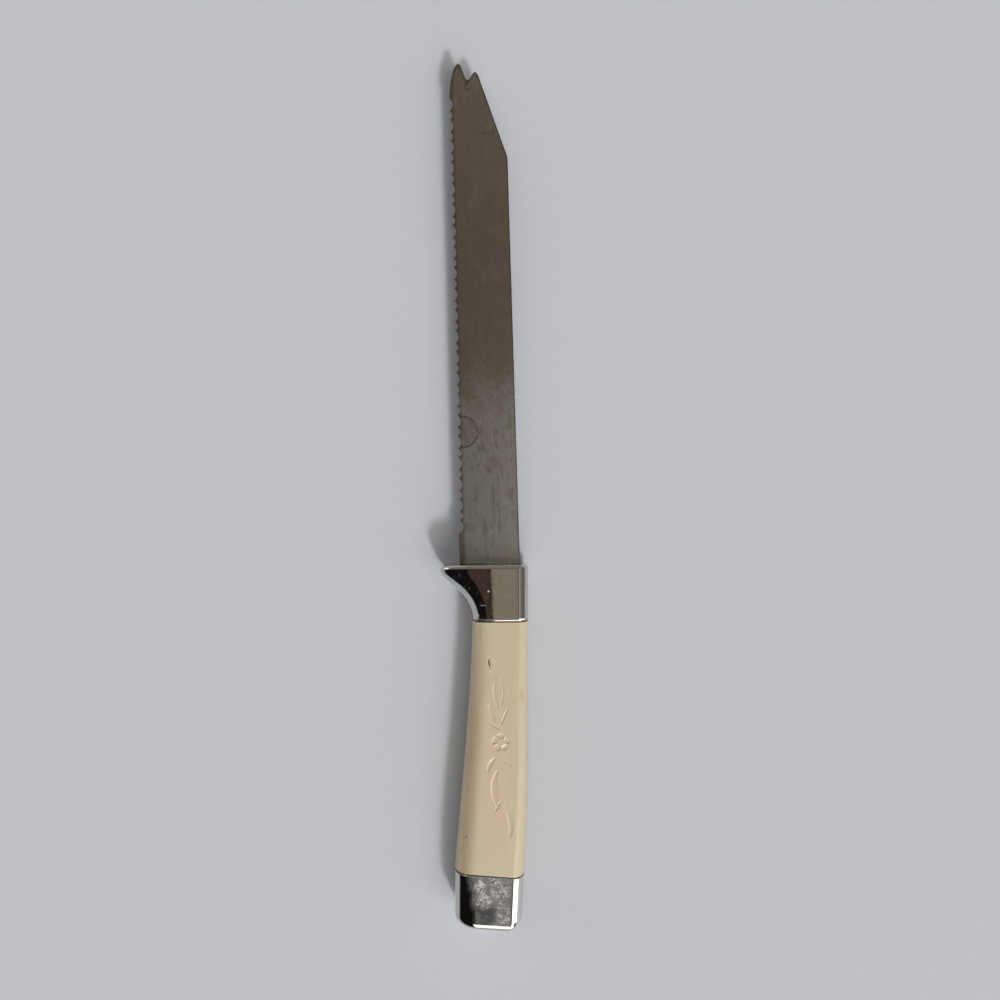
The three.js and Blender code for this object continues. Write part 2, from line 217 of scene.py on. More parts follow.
# Where each part of the room is, by the east, north and up of the direction towards it
towards = wires.node("ShaderNodeTexCoord")
east, north, up = parts_of(towards)
light = blend(ramp(north, 0.04, 0.22), ROOM["overhead"], ROOM["over the back"])
light = blend(ramp(north, 0.30, 0.47), light, ROOM["far back"])
light = blend(ramp(north, -0.2, -0.4), light, ROOM["over the front"])
beside = ramp(north, -0.34, -0.2)
beam = ramp(east, 0.022, 0.035) * ramp(east, 0.16, 0.13) * beside * ramp(north, 0.1, 0.0)
light = blend(beam, light, ROOM["beam"])
to_right = ramp(east, 0.14, 0.18)
right = blend(ramp(east, 0.2, 0.9), ROOM["right"], ROOM["low right"])
light = blend(to_right * ramp(north, 0.5, 0.3), light, right)
door = east + 0.035 * ramp(north, -0.2, -0.44)
to_front = ramp(north, -0.55, -0.62) * ramp(east, -0.16, -0.10)
to_left = ramp(door, -0.0130, -0.0148) * ramp(north, 0.14, 0.06) * (1 - to_front)
light = blend(to_left, light, blend(ramp(door, -0.020, -0.0175), ROOM["left"], ROOM["door edge"]))
far_left = ramp(east - ramp(north, -0.25, -0.4), -0.055, -0.08)
light = blend(to_left * far_left, light, ROOM["far left"])
light = blend(to_front, light, ROOM["front"])
light = blend(ramp(up, 0.22, 0.15), light, ROOM["horizon"])
light = blend(ramp(up, 0.17, 0.10) * ramp(east, -0.3, -0.6), light, ROOM["low left"])
back_left = ramp(north + 0.85 * east, 0.03, -0.03) * ramp(north + 0.2 * east, -0.02, 0.04)
light = blend(back_left * ramp(up, 0.50, 0.40), light, ROOM["back window"])
light = blend(to_right * (1 - beside) * ramp(up, 0.02, 0.16), light, ROOM["right window"])
corner = ramp(east + north, -0.32, -0.24) * ramp(east + north, 0.26, 0.18) * ramp(up, 0.58, 0.46)
light = blend(corner * ramp(north, -0.3, -0.4), light, ROOM["corner"])
background = wires.node("ShaderNodeBackground", (), {"Color": light})
wires.node("ShaderNodeOutputWorld", (), {"Surface": background})
scene.view_settings.view_transform = "Standard"


# Blade: flat stock stamped to its outline, with softened edges and a tang that runs back into the handle.
# A grinding wheel, leaning towards the edge, cuts the wide and narrow scallops from the underside.
def bezier(controls, steps):
    """Points along the Bezier curve of these control points, both ends included."""
    share = np.linspace(0, 1, steps + 1)[:, None]
    points = [np.asarray(control, float)[None, :] for control in controls]
    while len(points) > 1:
        points = [a + (b - a) * share for a, b in zip(points, points[1:])]
    return points[0]


def turned(points, angle):
    """Points turned about the vertical line through the start of the drawing."""
    turn = np.eye(np.shape(points)[-1])
    turn[:2, :2] = [[math.cos(angle), -math.sin(angle)], [math.sin(angle), math.cos(angle)]]
    return np.asarray(points, float) @ turn.T


def new_piece(name, points, faces):
    """An object from points of the drawing, with its faces turned outwards."""
    mesh = bpy.data.meshes.new(name)
    mesh.from_pydata([tuple(point) for point in in_frame(points)], [], faces)
    solid = bmesh.new()
    solid.from_mesh(mesh)
    bmesh.ops.recalc_face_normals(solid, faces=solid.faces)
    solid.to_mesh(mesh)
    solid.free()
    piece = bpy.data.objects.new(name, mesh)
    scene.collection.objects.link(piece)
    return piece


def settle(piece):
    """Makes what a piece's modifiers give its own plain mesh, and removes the modifiers."""
    depsgraph = bpy.context.evaluated_depsgraph_get()
    evaluated = piece.evaluated_get(depsgraph)
    mesh = bpy.data.meshes.new_from_object(evaluated, preserve_all_data_layers=True, depsgraph=depsgraph)
    piece.modifiers.clear()
    piece.data = mesh
    mesh.name = piece.name


def join_or_cut(piece, operation, *others):
    """Joins other solids to a piece, or cuts them from it, and deletes them."""
    for other in others:
        modifier = piece.modifiers.new(operation.lower(), "BOOLEAN")
        modifier.operation = operation
        modifier.solver = "EXACT"
        modifier.object = other
    settle(piece)
    for other in others:
        bpy.data.objects.remove(other)


def slab(name, outline, thickness, soft_edge=0.0):
    """A flat plate of an outline, with both faces' edges rounded by soft_edge."""
    count = len(outline)
    top = [(x, y, thickness / 2) for x, y in outline]
    bottom = [(x, y, -thickness / 2) for x, y in outline]
    sides = [(i, (i + 1) % count, (i + 1) % count + count, i + count) for i in range(count)]
    faces = [tuple(range(count)), tuple(range(2 * count - 1, count - 1, -1))] + sides
    plate = new_piece(name, top + bottom, faces)
    if soft_edge:
        solid = bmesh.new()
        solid.from_mesh(plate.data)
        rims = [edge for edge in solid.edges if any(len(face.verts) == count for face in edge.link_faces)]
        bmesh.ops.bevel(solid, geom=rims, offset=soft_edge * MM, segments=2, profile=0.5, affect="EDGES")
        solid.to_mesh(plate.data)
        solid.free()
    return plate


def node_tree(name, sizes):
    """A Geometry Nodes tree with a mesh in and out, and a named input for each size. Gives its wires."""
    tree = bpy.data.node_groups.new(name, "GeometryNodeTree")
    tree.interface.new_socket("Mesh", in_out="INPUT", socket_type="NodeSocketGeometry")
    for size, kind in sizes.items():
        tree.interface.new_socket(size, in_out="INPUT", socket_type="NodeSocket" + kind)
    tree.interface.new_socket("Mesh", in_out="OUTPUT", socket_type="NodeSocketGeometry")
    start = tree.nodes.new("NodeGroupInput")
    return tree, {socket.name: Wire(tree, socket) for socket in start.outputs if socket.name}


def grow(piece, tree, sizes):
    """Runs a Geometry Nodes tree on a piece with these sizes, and keeps the result as a plain mesh."""
    modifier = piece.modifiers.new(tree.name, "NODES")
    modifier.node_group = tree
    for item in tree.interface.items_tree:
        if item.in_out == "INPUT" and item.name in sizes:
            modifier[item.identifier] = sizes[item.name]
    settle(piece)


def smooth_faces(piece, crease):
    """Smooth shading that keeps flat faces flat. Edges sharper than the crease, in degrees, stay sharp."""
    piece.data.shade_smooth()
    piece.data.set_sharp_from_angle(angle=math.radians(crease))
    modifier = piece.modifiers.new("flat_faces_first", "WEIGHTED_NORMAL")
    modifier.mode = "FACE_AREA"
    modifier.keep_sharp = True
    settle(piece)


def hand_in(piece, node):
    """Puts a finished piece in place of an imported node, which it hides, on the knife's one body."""
    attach(piece, "root")
    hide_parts(node)


def new_finish(name):
    """A material with no nodes yet, its wires, and the place on the piece, in metres."""
    material = bpy.data.materials.new(name)
    material.use_nodes = True
    material.node_tree.nodes.clear()
    tree = Wire(material.node_tree)
    return material, tree, tree.node("ShaderNodeTexCoord", (), (), output=3)


def surface(tree, sockets):
    """Ends a material in one shader with these sockets."""
    shader = tree.node("ShaderNodeBsdfPrincipled", (), sockets)
    tree.node("ShaderNodeOutputMaterial", (), {"Surface": shader})


def noise(place, per_mm, detail=3.0, roughness=0.5):
    """Soft noise from 0 to 1, with that many waves to a millimetre along X, Y and Z."""
    waves = tuple(count / MM for count in per_mm)
    stretched = place.node("ShaderNodeVectorMath", {"operation": "MULTIPLY"}, {0: place, 1: waves})
    return place.node("ShaderNodeTexNoise", (), {
        "Vector": stretched, "Scale": 1.0, "Detail": detail, "Roughness": roughness,
    })


def drawn_place(place):
    """How far across and along the knife's drawing a place is, in millimetres."""
    x, y, _ = parts_of(place)
    return (x - float(DATUM[0])) / MM, (y - float(DATUM[1])) / MM


def spot(across, along, centre, size):
    """1 at the middle of an oval spot of the drawing, fading to 0 at its border."""
    far = ((across - centre[0]) / size[0]) ** 2 + ((along - centre[1]) / size[1]) ** 2
    return ramp(far, 1.0, 0.15)


def off_line(across, along, point, normal):
    """How far a place of the drawing is off a line through a point, towards the line's normal."""
    return (across - point[0]) * normal[0] + (along - point[1]) * normal[1]


def bump(tree, height, depth):
    """A normal for the shader, from a height of 0 to 1 that stands for a depth in millimetres."""
    return tree.node("ShaderNodeBump", (), {"Height": height, "Distance": depth * MM, "Strength": 1.0})


HANDLE_DROP = math.radians(1.2)
GAP = 0.3
BLADE_THICKNESS = 1.6
BLADE_SOFT_EDGE = 0.06
HEEL_WIDTH = 22.2
HEEL_LENGTH = 12.4
EDGE_WIDTH_AT_HEEL = 21.7
EDGE_WIDTH_AT_BELLY = 20.85
CLIP_CORNER = 150.3
CLIP_NORMAL = (-0.950, -0.311)
SHORT_PRONG = [(-9.9, 180.9), (-11.15, 183.35), (-12.1, 181.2)]
NOTCH = [(-13.2, 179.65), (-13.95, 178.75), (-14.75, 179.9)]
LONG_PRONG = [(-16.1, 183.9), (-17.05, 186.78), (-18.55, 184.05)]
FORK_STEPS = 10
BELLY_SWELL = (-20.55, 180.0)
BELLY_STEPS = 16
SHOULDER = 0.42
SCALLOP_PAIRS = 20
WIDE_SCALLOP = {"length": 4.59, "depth": 1.25}
NARROW_SCALLOP = {"length": 3.19, "depth": 1.1}
WHEEL_LEAN = math.radians(31)
WHEEL_LENGTH = 26.0
WHEEL_SIDES = 96
TANG = {"thickness": 1.4, "width": 9.0, "tip": 4.6, "shoulder": 9.0, "taper_end": 11.5, "length": 26.0}
TANG_ROOT = 2.0
BOLSTER_LENGTH = 20.0
SPINE_REAR = 2.75
GRIP_WIDTH_FRONT = 20.45
GRIP_CENTRE = SPINE_REAR - GRIP_WIDTH_FRONT / 2
GRIP_LENGTH = 91.9
GRIP_DRIFT = 4.73
ROD_LEAN = math.atan2(GRIP_DRIFT, GRIP_LENGTH)
BLADE_CREASE = 15

scallop_pitch = WIDE_SCALLOP["length"] + NARROW_SCALLOP["length"]
edge_run = SCALLOP_PAIRS * scallop_pitch + WIDE_SCALLOP["length"]
edge_lean = (EDGE_WIDTH_AT_HEEL - EDGE_WIDTH_AT_BELLY) / edge_run
edge_end = HEEL_LENGTH + edge_run


def edge_at(y):
    """How far across the edge is before it is ground, at a distance along the blade."""
    return -EDGE_WIDTH_AT_BELLY - (edge_end - y) * edge_lean


def shoulder_at(x):
    """How far along the blade's shoulder is, which follows the bolster's slanting front."""
    return SHOULDER - x * math.tan(HANDLE_DROP)


belly = [LONG_PRONG[2], BELLY_SWELL, (edge_at(edge_end), edge_end)]
blank = [(0, shoulder_at(0)), (0, CLIP_CORNER)]
for curve in (SHORT_PRONG, NOTCH, LONG_PRONG):
    blank += [tuple(point) for point in bezier(curve, FORK_STEPS)]
blank += [tuple(point) for point in bezier(belly, BELLY_STEPS)[1:]]
blank += [
    (edge_at(HEEL_LENGTH), HEEL_LENGTH),
    (-HEEL_WIDTH, HEEL_LENGTH),
    (-HEEL_WIDTH, shoulder_at(-HEEL_WIDTH)),
]
blade = slab("forked_blade", blank, BLADE_THICKNESS, BLADE_SOFT_EDGE)

tang_half = [
    (-BOLSTER_LENGTH - TANG_ROOT, TANG["width"] / 2),
    (TANG["shoulder"], TANG["width"] / 2),
    (TANG["taper_end"], TANG["tip"] / 2),
    (TANG["length"], TANG["tip"] / 2),
]
tang_outline = [(half, -back) for back, half in tang_half]
tang_outline += [(-half, -back) for back, half in reversed(tang_half)]
tang_outline = turned(tang_outline, -ROD_LEAN) + (GRIP_CENTRE, -BOLSTER_LENGTH)
tang = slab("tang", turned(tang_outline, -HANDLE_DROP), TANG["thickness"])
join_or_cut(blade, "UNION", tang)

STEEL_COLOURS = {
    "bright": (0.80, 0.785, 0.76, 1),
    "brown": (0.40, 0.345, 0.29, 1),
    "olive": (0.37, 0.335, 0.245, 1),
    "rosy": (0.53, 0.43, 0.385, 1),
    "brushed": (0.40, 0.36, 0.32, 1),
    "mottled": (0.29, 0.24, 0.195, 1),
    "water ring": (0.20, 0.155, 0.12, 1),
    "inside the ring": (0.30, 0.25, 0.20, 1),
    "smudged": (0.14, 0.10, 0.075, 1),
    "scratched": (0.75, 0.73, 0.70, 1),
    # painted shade: darker colour along the blade's edges
    "edge_shade": (0.13, 0.115, 0.095, 1),
    "heel dirt": (0.05, 0.034, 0.024, 1),
}
# Marks on the blade: middle and half size. The two prong spots are painted shade round the prong tips; the
# others are stains and smears
STEEL_MARKS = {
    "water ring": ((-19.3, 49.6), (5.2, 5.8)),
    "smudge by the clip": ((-6.6, 159.5), (2.9, 1.1)),
    "smudge by the fork": ((-14.2, 176.9), (1.3, 2.0)),
    "long smear": ((-9.0, 23.0), (0.6, 9.0)),
    "short smear": ((-7.2, 31.0), (0.5, 6.0)),
    "long prong shade": ((-17.1, 184.6), (1.4, 1.8)),
    "short prong shade": ((-11.0, 181.6), (1.1, 1.4)),
}
SCRATCH = {"along": 120.6, "slope": 0.35, "half": 0.12}
BRUSH_DEPTH = 0.0006

steel, tree, place = new_finish("stained_brushed_steel")
across, along = drawn_place(place)
streaks = noise(place, (3.2, 0.035, 0.5), 4.0, 0.6)
fine_streaks = noise(place, (9.0, 0.12, 0.5), 2.0, 0.6)
clouds = noise(place, (0.11, 0.05, 0.1), 4.0, 0.6)
mottle = noise(place, (0.9, 0.6, 0.5), 4.0, 0.6)
towards_tip = ramp(along + 14.0 * (clouds - 0.5), 50.0, 80.0)
stained = ramp(0.5 * clouds + 0.25 * (mottle - 0.5) + 0.45 * towards_tip, 0.24, 0.72)
ring_at, ring_half = STEEL_MARKS["water ring"]
ring_far = ((across - ring_at[0]) / ring_half[0]) ** 2 + ((along - ring_at[1]) / ring_half[1]) ** 2
ring_far = ring_far ** 0.5
water_ring = ramp(ring_far, 0.86, 0.95) * ramp(ring_far, 1.06, 0.98) * ramp(mottle, 0.25, 0.5)
ring_inside = ramp(ring_far, 0.98, 0.8)
blotches = noise(place, (0.30, 0.14, 0.2), 5.0, 0.7)
smudges = (
    0.8 * spot(across, along, *STEEL_MARKS["smudge by the clip"]) * ramp(mottle, 0.3, 0.6)
    + spot(across, along, *STEEL_MARKS["smudge by the fork"]) * ramp(mottle, 0.4, 0.65)
    + 0.7 * spot(across, along, *STEEL_MARKS["long smear"]) * ramp(fine_streaks, 0.4, 0.6)
    + 0.6 * spot(across, along, *STEEL_MARKS["short smear"]) * ramp(fine_streaks, 0.4, 0.6)
)
heel_dirt = ramp(along + 0.021 * across + 1.6 * (mottle - 0.5), 0.95, 0.6)
from_spine = across * -1.0
from_clip = off_line(across, along, (0, CLIP_CORNER), CLIP_NORMAL)
from_edge = across + EDGE_WIDTH_AT_BELLY + (edge_end - along) * edge_lean
# Painted shade: the colour darkens along the spine, the clip, the scalloped edge and round the fork and prong
# tips, where the edges look dark
edge_shade = ramp(from_spine.math("MINIMUM", from_spine, from_clip) + 0.3 * (mottle - 0.5), 0.65, 0.2)
edge_shade = edge_shade.math("MAXIMUM", edge_shade, ramp(from_edge + 0.9 * (mottle - 0.5), 2.1, 1.0) * 0.8)
left_of_notch = off_line(across, along, NOTCH[2], (-0.947, -0.321))
right_of_notch = off_line(across, along, NOTCH[0], (0.815, -0.579))
from_notch = edge_shade.math("MAXIMUM", left_of_notch, right_of_notch)
from_belly = off_line(across, along, (-19.7, 180.9), (0.924, -0.382))
from_fork = edge_shade.math("MINIMUM", from_notch, from_belly)
fork_edge_shade = ramp(from_fork + 0.6 * (mottle - 0.5), 0.75, 0.3) * ramp(along, 173.0, 177.0)
edge_shade = edge_shade.math("MAXIMUM", edge_shade, fork_edge_shade)
edge_shade = edge_shade.math("MAXIMUM", edge_shade, 0.7 * spot(across, along, *STEEL_MARKS["long prong shade"]))
edge_shade = edge_shade.math("MAXIMUM", edge_shade, 0.5 * spot(across, along, *STEEL_MARKS["short prong shade"]))
scratch_far = across * SCRATCH["slope"] + along + 0.8 * (streaks - 0.5) - SCRATCH["along"]
scratch = ramp(scratch_far, -SCRATCH["half"], 0.0) * ramp(scratch_far, SCRATCH["half"], 0.0)
scratch = scratch * ramp(across, -19.0, -17.5) * ramp(across, -12.5, -14.0)
steel_colour = blend(stained, STEEL_COLOURS["bright"], STEEL_COLOURS["brown"])
for mark, amount in {
    "olive": ramp(blotches, 0.50, 0.66) * 0.50,
    "rosy": ramp(blotches, 0.48, 0.32) * 0.45,
    "brushed": ramp(streaks, 0.35, 0.75) * 0.13,
    "mottled": ramp(mottle, 0.56, 0.75) * 0.30,
    "water ring": water_ring * 0.72,
    "inside the ring": ring_inside * 0.15,
    "smudged": smudges * 0.55,
    "scratched": scratch * 0.7,
    # painted shade along the edges
    "edge_shade": edge_shade * 0.65,
    "heel dirt": heel_dirt * (0.5 + 0.3 * ramp(across, -11.0, -15.0)),
}.items():
    steel_colour = blend(amount, steel_colour, STEEL_COLOURS[mark])
surface(tree, {
    "Base Color": steel_colour,
    "Metallic": 1.0 - 0.7 * heel_dirt,
    "Roughness": 0.26 + 0.05 * stained + 0.06 * (streaks - 0.5) + 0.3 * heel_dirt,
    "Normal": bump(tree, streaks + 0.5 * fine_streaks, BRUSH_DEPTH),
})

wheel_sizes = {
    "Wide start": "Vector", "Narrow start": "Vector", "Step": "Vector",
    "Wide count": "Int", "Narrow count": "Int", "Wide radius": "Float", "Narrow radius": "Float",
    "Wheel length": "Float", "Wheel turn": "Vector", "Steel": "Material",
}
wheel_tree, inputs = node_tree("scallop_wheels", wheel_sizes)
wheels = []
for width in ("Wide", "Narrow"):
    stops = inputs["Mesh"].node("GeometryNodeMeshLine", {"mode": "OFFSET"}, {
        "Count": inputs[width + " count"],
        "Start Location": inputs[width + " start"],
        "Offset": inputs["Step"],
    })
    wheel = stops.node("GeometryNodeMeshCylinder", (), {
        "Vertices": WHEEL_SIDES, "Radius": inputs[width + " radius"], "Depth": inputs["Wheel length"],
    })
    wheels.append(stops.node("GeometryNodeInstanceOnPoints", (), {
        "Points": stops, "Instance": wheel, "Rotation": inputs["Wheel turn"],
    }))
ground = wheels[0].node("GeometryNodeMeshBoolean", {"operation": "DIFFERENCE", "solver": "EXACT"}, {
    "Mesh 1": inputs["Mesh"], "Mesh 2": wheels,
})
ground = ground.node("GeometryNodeRealizeInstances", (), {"Geometry": ground})
ground = ground.node("GeometryNodeSetMaterial", (), {"Geometry": ground, "Material": inputs["Steel"]})
ground.node("NodeGroupOutput", (), {"Mesh": ground})


def wheel_radius(scallop):
    """The radius of the leaning wheel that leaves a scallop of this length and depth."""
    rise = scallop["depth"] * math.sin(WHEEL_LEAN)
    return ((scallop["length"] / 2) ** 2 + rise ** 2) / (2 * rise)


def wheel_start(scallop, middle):
    """Where a wheel's middle is when it cuts the scallop whose middle is that far along the blade."""
    radius = wheel_radius(scallop)
    return in_frame((
        edge_at(middle) + scallop["depth"] - radius * math.sin(WHEEL_LEAN),
        middle,
        BLADE_THICKNESS / 2 - radius * math.cos(WHEEL_LEAN),
    ))


grow(blade, wheel_tree, {
    "Wide start": wheel_start(WIDE_SCALLOP, edge_end - WIDE_SCALLOP["length"] / 2),
    "Narrow start": wheel_start(
        NARROW_SCALLOP, edge_end - WIDE_SCALLOP["length"] - NARROW_SCALLOP["length"] / 2,
    ),
    "Step": (-scallop_pitch * edge_lean * MM, -scallop_pitch * MM, 0.0),
    "Wide count": SCALLOP_PAIRS + 1,
    "Narrow count": SCALLOP_PAIRS,
    "Wide radius": wheel_radius(WIDE_SCALLOP) * MM,
    "Narrow radius": wheel_radius(NARROW_SCALLOP) * MM,
    "Wheel length": WHEEL_LENGTH * MM,
    "Wheel turn": (0.0, math.pi / 2 + WHEEL_LEAN, 0.0),
    "Steel": steel,
})
smooth_faces(blade, BLADE_CREASE)
hand_in(blade, "blade")

# Rod, washer and nut: plain steel with a thin zinc plate. The rod is brazed to the tang, runs down the
# grip, and the nut on its end draws the handle together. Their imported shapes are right, so they stay.
ZINC_DULL = (0.50, 0.51, 0.53, 1)
ZINC_BRIGHT = (0.66, 0.67, 0.68, 1)

zinc, tree, place = new_finish("zinc_plate")
spangle = noise(place, (1.4, 1.4, 1.4), 3.0, 0.6)
surface(tree, {
    "Base Color": blend(spangle, ZINC_DULL, ZINC_BRIGHT),
    "Metallic": 1.0,
    "Roughness": 0.30 + 0.2 * spangle,
})
for name in ("tang_rod", "tang_washer", "tang_nut"):
    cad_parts[name].data.materials.clear()
    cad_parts[name].data.materials.append(zinc)


# Bolster: a zinc casting, chrome plated, with a horn that keeps the finger off the edge. Its rear is
# pocketed for the grip's tenon, and a slot through it takes the tang.
def section(edge_side, spine_side, inset=0.0, side_inset=None, top_steps=1):
    """Points (x, z) once round the handle. Each side is (distance from the middle, width of its rounded
    corners, their rise, their fullness), where 2 is an ellipse. The flat top is divided into steps, and
    the points of a full corner lie closer together towards the flat."""
    side_inset = inset if side_inset is None else side_inset
    corners = []
    quarters = ((spine_side, 1, -1), (spine_side, 1, 1), (edge_side, -1, 1), (edge_side, -1, -1))
    for (at, width, rise, fullness), over, above in quarters:
        width = max(width - inset, GAP)
        rise = max(rise - inset, GAP)
        angles = math.pi / 2 * (1 - np.linspace(1, 0, CORNER_STEPS + 1) ** (fullness / 2))
        angles = angles if over * above > 0 else angles[::-1]
        corners.append(np.stack([
            over * (at - side_inset - width + width * np.maximum(np.cos(angles), 0) ** (2 / fullness)),
            above * (HALF_THICKNESS - inset - rise + rise * np.sin(angles) ** (2 / fullness)),
        ], axis=1))
    flat = corners[1][-1] + (corners[2][0] - corners[1][-1]) * np.linspace(0, 1, top_steps + 1)[1:-1, None]
    return np.concatenate([corners[0], corners[1], flat, corners[2], corners[3]])


def ring(middle, turn, points):
    """A section stood across the handle at a middle point, turned about the vertical."""
    x = middle[0] + points[:, 0] * math.cos(turn)
    y = middle[1] + points[:, 0] * math.sin(turn)
    return np.stack([x, y, points[:, 1]], axis=1)


def loft(name, rings):
    """A closed skin over rings of the handle's own drawing, which drops from the line of the spine."""
    count = len(rings[0])
    last = (len(rings) - 1) * count
    faces = [tuple(range(count)), tuple(range(last, last + count))]
    for first in range(0, last, count):
        for i in range(count):
            j = (i + 1) % count
            faces.append((first + i, first + j, first + count + j, first + count + i))
    return new_piece(name, turned(np.concatenate(rings), -HANDLE_DROP), faces)


def box_on_rod(name, width, height, start, end):
    """A block along the rod's line, between two distances behind the bolster's rear."""
    corners = [(x, -y) for x, y in ((-1, start), (1, start), (1, end), (-1, end))]
    outline = [(x * width / 2, y) for x, y in corners]
    outline = turned(outline, -ROD_LEAN) + (GRIP_CENTRE, -BOLSTER_LENGTH)
    return slab(name, turned(outline, -HANDLE_DROP), height)


HALF_THICKNESS = 7.5
CORNER_STEPS = 30
SPINE_FRONT = 2.92
SPINE_CORNER = (3.8, 4.0, 2.0)
BOLSTER_FRONT = 0.35
BOLSTER_REAR = -20.2
FRONT_BEVEL = {"depth": 1.35, "face": 0.32, "slope": math.tan(math.radians(43))}
REAR_ROUND = {"length": 1.25, "inset": 0.9, "steps": 11}
HORN_NOSE = [(-27.4, 0.35), (-28.5, 0.35), (-29.17, -0.4), (-29.17, -1.7)]
HORN_UNDERSIDE = [(-29.17, -1.7), (-29.17, -3.4), (-27, -5.14), (-25, -6.8)]
FINGER_REST = [(-25, -6.8), (-20.77, -10.32), (-17.7, -14.5), (-17.7, -20)]
GUARD_STEPS = 34
GUARD_REACH = (17.7, 27.0, 29.17)
GUARD_CORNER_WIDTH = (5.5, 10.4, 10.4)
GUARD_CORNER_RISE = (6.8, 5.4, 5.2)
POCKET_DEPTH = 5.0
POCKET_INSET = 2.3
OVERRUN = 1.0
EDGE_CORNER_FRONT = (7.5, 7.0, 2.7)
PLATE_CREASE = 35
PLATE_WAVE = 0.0015
PITS_PER_METRE = 420.0
PLATE_COLOURS = {
    "clean": (0.63, 0.605, 0.565, 1),
    "grimy": (0.53, 0.50, 0.455, 1),
    "tarnished": (0.16, 0.155, 0.17, 1),
    "pitted": (0.80, 0.78, 0.73, 1),
    "worn": (0.42, 0.415, 0.41, 1),
    "dirty": (0.035, 0.028, 0.022, 1),
}
# Marks on the bolster: how far worn, middle and half size
BOLSTER_MARKS = [
    (0.8, (-11.78, -8.73), (0.48, 0.48)),
    (0.3, (-13.87, -13.75), (1.4, 0.35)),
    (0.3, (-4.21, -10.75), (1.1, 0.4)),
    (0.6, (-15.8, -17.5), (0.5, 0.8)),
]


def rounded_in(depth, end):
    """How far an end with an oval rounding is drawn in at a depth behind its face."""
    share = max(1 - depth / end["length"], 0)
    return end["inset"] * (1 - math.sqrt(1 - min(share, 1) ** 2))


def bevelled_in(depth):
    """How far the bolster's bevelled front is drawn in at a depth behind its face."""
    run = FRONT_BEVEL["depth"] - FRONT_BEVEL["face"]
    softened = min(max(FRONT_BEVEL["depth"] - depth, 0), run) ** 2 / (2 * run)
    return FRONT_BEVEL["slope"] * (softened + max(FRONT_BEVEL["face"] - depth, 0))


guard = np.concatenate([
    bezier(HORN_NOSE, GUARD_STEPS),
    bezier(HORN_UNDERSIDE, GUARD_STEPS)[1:],
    bezier(FINGER_REST, GUARD_STEPS)[1:],
])
guard = guard[guard[:, 1] > REAR_ROUND["length"] + BOLSTER_REAR]
for angle in np.linspace(0, math.pi / 2, REAR_ROUND["steps"] + 1):
    y = REAR_ROUND["length"] * (1 - math.sin(angle)) + BOLSTER_REAR
    guard = np.vstack([guard, (FINGER_REST[-1][0], y)])
rings = []
for x, y in guard:
    guard_corner = [np.interp(-x, GUARD_REACH, sizes) for sizes in (GUARD_CORNER_WIDTH, GUARD_CORNER_RISE)]
    spine = np.interp(-y, (0, BOLSTER_LENGTH), (SPINE_FRONT, SPINE_REAR))
    inset = bevelled_in(BOLSTER_FRONT - y) + rounded_in(y - BOLSTER_REAR, REAR_ROUND)
    outline = section((-x, *guard_corner, 2.0), (spine, *SPINE_CORNER), inset)
    rings.append(ring((0, y), 0, outline))
bolster = loft("finger_guard_bolster", rings)
grip_half = GRIP_WIDTH_FRONT / 2
pocket_outline = section((grip_half, *EDGE_CORNER_FRONT), (grip_half, *SPINE_CORNER), POCKET_INSET)
pocket_ends = (POCKET_DEPTH, -OVERRUN)
pocket = loft("pocket", [
    ring((GRIP_CENTRE, ahead - BOLSTER_LENGTH), 0, pocket_outline) for ahead in pocket_ends
])
slot_height = TANG["thickness"] + 2 * GAP
slot_cutter = box_on_rod("slot", TANG["width"] + 2 * GAP, slot_height, -BOLSTER_LENGTH - OVERRUN, 0)
join_or_cut(bolster, "DIFFERENCE", pocket, slot_cutter)


def chrome_finish(name, wear_at):
    """Chrome plate with faint waves and pits. wear_at gives where it is worn through, where it is dirty and
    where it has tarnished, from its wires."""
    material, tree, place = new_finish(name)
    across, along = drawn_place(place)
    waves = noise(place, (0.12, 0.12, 0.12), 2.0, 0.5)
    grime = noise(place, (0.5, 0.4, 0.5), 4.0, 0.6)
    cells = {"Vector": place, "Scale": PITS_PER_METRE}
    from_middle = place.node("ShaderNodeTexVoronoi", (), cells)
    chosen = parts_of(place.node("ShaderNodeTexVoronoi", (), cells, output=1))[0]
    pits = ramp(from_middle, 0.11, 0.06) * ramp(chosen, 0.78, 0.8)
    worn, dirt, tarnish = wear_at(place, across, along)
    colour = blend(ramp(grime, 0.45, 0.7) * 0.3, PLATE_COLOURS["clean"], PLATE_COLOURS["grimy"])
    colour = blend(tarnish * 0.65, colour, PLATE_COLOURS["tarnished"])
    colour = blend(pits * 0.8, colour, PLATE_COLOURS["pitted"])
    colour = blend(worn, colour, PLATE_COLOURS["worn"])
    colour = blend(dirt, colour, PLATE_COLOURS["dirty"])
    surface(tree, {
        "Base Color": colour,
        "Metallic": (1.0 - 0.7 * worn) * (1 - dirt),
        "Roughness": 0.02 + 0.02 * ramp(grime, 0.4, 0.7) + 0.25 * pits + 0.5 * worn + 0.4 * dirt,
        "Normal": bump(tree, waves + 0.3 * worn - 2.0 * pits, PLATE_WAVE),
    })
    return material


def bolster_wear(place, across, along):
    """A faint haze and a few marks on the plate, and dirt where the grip meets it on the edge side."""
    worn = ramp(noise(place, (0.6, 0.5, 0.6), 5.0, 0.65), 0.55, 0.8) * 0.1
    for amount, middle, half in BOLSTER_MARKS:
        worn = worn + amount * spot(across, along, middle, half)
    behind_front = along + math.tan(HANDLE_DROP) * across
    dirt = ramp(behind_front, -18.9, -19.2) * ramp(across, -9.0, -11.0) * ramp(across, -17.0, -15.5)
    return worn, dirt * 0.97, dirt


bolster.data.materials.clear()
bolster.data.materials.append(chrome_finish("chrome_plate", bolster_wear))
smooth_faces(bolster, PLATE_CREASE)
hand_in(bolster, "bolster")

